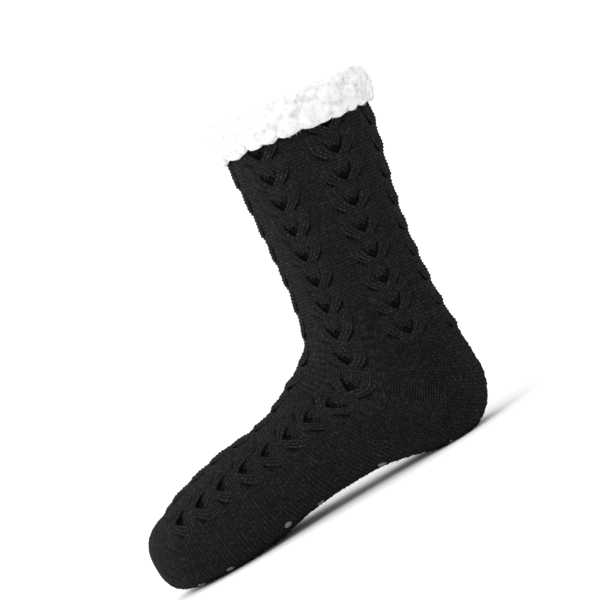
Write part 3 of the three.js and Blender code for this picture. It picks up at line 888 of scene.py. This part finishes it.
class SOCK_OT_cables(bpy.types.Operator):
    """Plait the horseshoe cables"""

    bl_idname = "sock.cables"
    bl_label = "Cables"

    def execute(self, context):
        s = context.scene.sock_cables
        material = bpy.data.materials.get("black_knit_yarn")
        if material is None:
            raise RuntimeError("knit the sock before its cables")
        shape = {
            "sweep": s.sweep,
            "over": s.over,
            "under": s.under,
            "rest": s.rest,
            "crown": s.crown,
            "depth": 0.8,
            "wide": s.wide,
            "offset": 0.25,
        }
        begin = 0.1
        front = cable_group("cables_front", FRONT_CABLES, begin, FRONT_CABLE_END, shape, material)
        shape["offset"] = 0.6
        back = cable_group("cables_back", BACK_CABLES, begin, BACK_CABLE_END, shape, material)
        shown(front, "black_knit", "knit_upper")
        shown(back, "black_knit", "knit_upper")
        return {"FINISHED"}


# The cuff's section: distance out from the plain knit, and up from its edge, in millimetres.
CUFF_SECTION = (
    (2.0, -17.0), (3.6, -19.0), (6.0, -17.8), (7.6, -14.0), (8.2, -9.0),
    (8.2, -4.0), (7.6, 1.0), (5.8, 4.8), (2.4, 6.6), (-1.4, 6.6),
    (-4.6, 4.6), (-6.6, 0.5), (-7.2, -6.0), (-7.0, -13.0), (-6.2, -20.0),
    (-3.2, -20.0), (-3.0, -10.0), (-3.0, 0.35), (2.0, 0.35), (2.0, -8.0),
)
CUFF_SEEN = 14  # the last of these points that clumps and fibres reach
PLACE_PER_MM = 1 / (LEG_SECTIONS[1][0] * LEG_LENGTH)
FLEECE_ROUND = 290.0  # round the cuff, in millimetres
FLEECE_OVER = 62.0  # over its section
# Clumps of fleece: how many, their least and greatest reach in millimetres, and their weight.
CLUMPS = ((420, 4.2, 7.2, 0.72), (900, 1.8, 3.2, 0.28))


def cuff_points(turn, out, up):
    """Points of the cuff, beyond the knit's edge along the leg where they are above it."""
    place = np.where(up < 0, -up * PLACE_PER_MM, 0)
    points = SKIN.at(turn, place, out)
    axis = np.array([math.sin(LEG_LEAN), 0, math.cos(LEG_LEAN)])
    return points + np.maximum(up, 0)[..., None] * axis * MM


def lumps(turn, v, seed):
    """The fleece's clumps: domes that crowd together, from 0 in the clefts to 1 on top."""
    rng = np.random.default_rng(seed)
    total = np.zeros(np.broadcast(turn, v).shape)
    for count, low, high, weight in CLUMPS:
        best = np.zeros(total.shape)
        for _ in range(count):
            centre_u, centre_v = rng.random() * FLEECE_ROUND, rng.random() * FLEECE_OVER
            reach = rng.uniform(low, high)
            du = np.abs(turn * FLEECE_ROUND - centre_u)
            du = np.minimum(du, FLEECE_ROUND - du)
            dome = np.clip(1 - (du**2 + (v - centre_v) ** 2) / reach**2, 0, 1) ** 0.5
            best = np.maximum(best, dome * reach / high)
        total += weight * best
    return total


def cuff_mesh(material):
    """The cuff's pile: the section carried round the collar, with a scalloped hem and clumps."""
    section = np.array(CUFF_SECTION)
    closed = np.vstack([section, section[:1]])
    step = np.linalg.norm(np.diff(closed, axis=0), axis=1)
    run = np.concatenate([[0], np.cumsum(step)])
    count = 96
    wanted = np.arange(count) / count * run[-1]
    out = np.interp(wanted, run, closed[:, 0])
    up = np.interp(wanted, run, closed[:, 1])
    for _ in range(2):
        out = (np.roll(out, 1) + 2 * out + np.roll(out, -1)) / 4
        up = (np.roll(up, 1) + 2 * up + np.roll(up, -1)) / 4
    around = 400
    turn = np.arange(around)[None, :] / around
    # The outer hem hangs in uneven scallops, lower at some turns than at others.
    hem = np.abs(np.sin(turn * 21 * math.pi + 0.8 * np.sin(turn * 10 * math.pi)))
    hem = 1.9 * hem**0.6 + 0.8 * np.sin(turn * 6 * math.pi + 1.2) - 1.2
    near_hem = smooth(-up, 6.0, 17.0) * (out > 0)
    points = cuff_points(turn, out[:, None] + 0 * turn, up[:, None] - near_hem[:, None] * hem)
    tangent = np.roll(points, -1, axis=0) - np.roll(points, 1, axis=0)
    circle = np.roll(points, -1, axis=1) - np.roll(points, 1, axis=1)
    normal = np.cross(circle, tangent)
    normal /= np.maximum(np.linalg.norm(normal, axis=-1, keepdims=True), 1e-12)
    # Clumps stand on the outer flap, the roll and the inner flap, not on the sides at the knit.
    seen_end = run[CUFF_SEEN]
    shows = smooth(wanted, 0, 5) * (1 - smooth(wanted, seen_end - 4, seen_end))
    relief = (lumps(turn, wanted[:, None], 5) * 3.3 - 2.2) * shows[:, None]
    points = points + normal * relief[..., None] * MM
    quads = grid_quads(count, around, True, flip=True)
    here = np.arange(around)
    after = (here + 1) % around
    last = (count - 1) * around
    closing = np.stack([last + here, last + after, after, here], axis=-1)
    quads = np.concatenate([quads, closing])
    pile = plain_mesh("fleece_cuff_pile", points.reshape(-1, 3), quads, [], material=material)
    mark_bare(pile, np.repeat(shows > 0.5, around))
    return pile


class SOCK_OT_cuff(bpy.types.Operator):
    """Turn the fleece down over the collar"""

    bl_idname = "sock.cuff"
    bl_label = "Fleece cuff"

    def execute(self, context):
        s = context.scene.sock_fleece
        material = fleece_material("white_fleece_pile", (0.755, 0.751, 0.745))
        pile = cuff_mesh(material)
        fibres = scatter("fleece_cuff_fibres", pile, s.fibres, s.seed, FLEECE_FIBRE, material)
        shown(pile, "white_fleece", "fleece_cuff")
        shown(fibres, "white_fleece", "fleece_cuff")
        return {"FINISHED"}


class SOCK_OT_lining(bpy.types.Operator):
    """Line the leg and foot with fleece"""

    bl_idname = "sock.lining"
    bl_label = "Fleece lining"

    def execute(self, context):
        material = fleece_material("white_fleece_lining", (0.74, 0.735, 0.728))
        # Fine rings down from the collar, where the lumps are seen, and coarse ones below.
        start, reach, coarse = 20.0, 58.0, 57
        fine = np.linspace(start, start + reach, 44)
        near = fine * PLACE_PER_MM
        places = np.concatenate([near, np.linspace(near[-1], LAST - 0.4, coarse + 1)[1:]])
        depth_down = np.concatenate([fine - start, np.full(coarse, reach)])[:, None]
        around = 190
        turn = np.arange(around)[None, :] / around
        plain = SKIN.at(turn, places[:, None], np.zeros((len(places), around)))
        wavy = speckle(plain / MM * 0.55, 11) * 0.45
        clumps = (lumps(turn, depth_down + 2, 9) - 0.6) * 2.6 * (1 - smooth(depth_down, 40, 57))
        inner = SKIN.at(turn, places[:, None], -5.4 + wavy - clumps)
        outer_rings, outer_around = 60, 64
        outer_places = np.linspace(places[0], places[-1], outer_rings)
        outer_turn = np.arange(outer_around)[None, :] / outer_around
        outer = SKIN.at(outer_turn, outer_places[:, None], np.array(-2.7))
        ends = np.stack([outer[-1].mean(axis=0), inner[-1].mean(axis=0)])
        vertices = np.concatenate([outer.reshape(-1, 3), inner.reshape(-1, 3), ends])
        begin = outer_rings * outer_around
        outer_quads = grid_quads(outer_rings, outer_around, True)
        inner_quads = grid_quads(len(places), around, True, begin, flip=True)
        quads = np.concatenate([outer_quads, inner_quads])
        tris = []
        outer_ring = [*range(outer_around), 0]
        inner_ring = [*(begin + np.arange(around)), begin]
        outer_at = np.linspace(0, 1, outer_around + 1)
        zipper(tris, outer_ring, outer_at, inner_ring, np.linspace(0, 1, around + 1), False)
        tip_id = len(vertices) - 2
        tris += fan(begin - outer_around, outer_around, tip_id)
        tris += fan(tip_id - around, around, tip_id + 1, flip=True)
        lining = plain_mesh("fleece_lining", vertices, quads, tris, material=material)
        shown(lining, "white_fleece")
        return {"FINISHED"}


class SOCK_OT_dots(bpy.types.Operator):
    """Dab the grip dots under the sole"""

    bl_idname = "sock.dots"
    bl_label = "Grip dots"

    def execute(self, context):
        material = grip_material()
        names = sorted(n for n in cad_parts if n.startswith("grip_dot"))
        vertices, quads, tris = [], [], []
        sides, rings = 28, 7
        dot_radius, dot_top, dot_height = 2.95 * MM, 0.9 * MM, 1.05 * MM
        for name in names:
            co = np.array([v.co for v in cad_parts[name].data.vertices])
            centre = co.mean(axis=0)
            _, _, axes = np.linalg.svd(co - centre)
            normal = axes[2] if axes[2][2] < 0 else -axes[2]
            along = (co - centre) @ normal
            lowest = centre + normal * along.max()
            across = np.cross(normal, [1.0, 0, 0])
            across /= np.linalg.norm(across)
            other = np.cross(normal, across)
            start = len(vertices)
            for k in range(rings):
                rise = k / (rings - 1) * math.pi / 2
                radius = dot_radius * math.cos(rise) ** 0.6 if k < rings - 1 else dot_top
                for j in range(sides):
                    angle = 2 * math.pi * j / sides
                    point = lowest + normal * (math.sin(rise) - 1) * dot_height
                    point = point + (across * math.cos(angle) + other * math.sin(angle)) * radius
                    vertices.append(point)
            quads.append(grid_quads(rings, sides, True, start, flip=True))
            top = start + (rings - 1) * sides
            for j in range(1, sides - 1):
                tris.append((top, top + j, top + j + 1))
                tris.append((start, start + j + 1, start + j))
        vertices = np.array(vertices)
        vertices[:, 2] = np.maximum(vertices[:, 2], 0)
        dots = plain_mesh("grip_dots", vertices, np.concatenate(quads), tris, material=material)
        shown(dots, "clear_grip", *names)
        return {"FINISHED"}


class SOCK_OT_stage(bpy.types.Operator):
    """Set the floor, lights and camera"""

    bl_idname = "sock.stage"
    bl_label = "Stage"

    def execute(self, context):
        scene = context.scene
        values = {"Base Color": (0.96, 0.96, 0.96, 1), "Roughness": 0.9, "Specular IOR Level": 0.1}
        material = nodes_of("pale_floor", values)[0]
        size = 6.0
        corners = [(-size, -size, 0), (size, -size, 0), (size, size, 0), (-size, size, 0)]
        floor = plain_mesh("floor", np.array(corners), [(0, 1, 2, 3)], [], material=material)
        world = bpy.data.worlds.new("studio")
        world.use_nodes = True
        fill(world.node_tree.nodes["Background"], {"Color": (1, 1, 1, 1), "Strength": 1.17})
        scene.world = world
        # Name, place, size in metres and power in watts.
        lights = (
            ("key", (-0.6, -1.05, 0.85), 0.7, 7.0),
            ("fill", (-1.2, 0.1, 0.5), 0.8, 4.0),
        )
        for name, spot, wide, power in lights:
            light = bpy.data.lights.new(name, "AREA")
            light.size = wide
            light.energy = power
            lamp = bpy.data.objects.new(name, light)
            lamp.location = spot
            aim = Vector((-0.05, 0, 0.12)) - Vector(spot)
            lamp.rotation_euler = aim.to_track_quat("-Z", "Y").to_euler()
            scene.collection.objects.link(lamp)
        camera_data = bpy.data.cameras.new("camera")
        camera = bpy.data.objects.new("camera", camera_data)
        scene.collection.objects.link(camera)
        azimuth = math.radians(8)
        rise = math.radians(2)
        back = Vector(
            (math.sin(azimuth) * math.cos(rise), -math.cos(azimuth) * math.cos(rise), math.sin(rise))
        )
        # The camera is rolled, because in the photograph the sock stands on tiptoe.
        roll = math.radians(-31)
        distance = 2.0
        frame_width = 0.379
        centre = Vector((-0.040, 0, 0.1245))
        camera.location = centre + back * distance
        turn = (-back).to_track_quat("-Z", "Y").to_matrix()
        camera.rotation_mode = "QUATERNION"
        camera.rotation_quaternion = (turn @ Matrix.Rotation(roll, 3, "Z")).to_quaternion()
        camera_data.sensor_width = 36
        camera_data.lens = camera_data.sensor_width * distance / frame_width
        camera_data.clip_end = 50
        scene.camera = camera
        scene.view_settings.view_transform = "Standard"
        return {"FINISHED"}


class SOCK_PT_panel(bpy.types.Panel):
    """The sock's panel in the sidebar"""

    bl_label = "Slipper sock"
    bl_idname = "SOCK_PT_panel"
    bl_space_type = "VIEW_3D"
    bl_region_type = "UI"
    bl_category = "Slipper sock"

    def draw(self, context):
        scene = context.scene
        for group in (scene.sock_knit, scene.sock_cables, scene.sock_fleece):
            box = self.layout.box()
            for key in group.bl_rna.properties.keys():
                if key not in {"rna_type", "name"}:
                    box.prop(group, key)
        for operator in OPERATORS:
            self.layout.operator(operator.bl_idname)


OPERATORS = (SOCK_OT_knit, SOCK_OT_cables, SOCK_OT_cuff, SOCK_OT_lining, SOCK_OT_dots, SOCK_OT_stage)
GROUPS = {"sock_knit": SockKnit, "sock_cables": SockCables, "sock_fleece": SockFleece}


def register():
    for group in GROUPS.values():
        bpy.utils.register_class(group)
    for operator in OPERATORS:
        bpy.utils.register_class(operator)
    bpy.utils.register_class(SOCK_PT_panel)
    for name, group in GROUPS.items():
        setattr(bpy.types.Scene, name, PointerProperty(type=group))


def unregister():
    for name in GROUPS:
        delattr(bpy.types.Scene, name)
    bpy.utils.unregister_class(SOCK_PT_panel)
    for operator in reversed(OPERATORS):
        bpy.utils.unregister_class(operator)
    for group in reversed(GROUPS.values()):
        bpy.utils.unregister_class(group)


def main():
    register()
    bpy.ops.sock.knit()
    bpy.ops.sock.cables()
    bpy.ops.sock.cuff()
    bpy.ops.sock.lining()
    bpy.ops.sock.dots()
    bpy.ops.sock.stage()


if __name__ == "__main__":
    main()
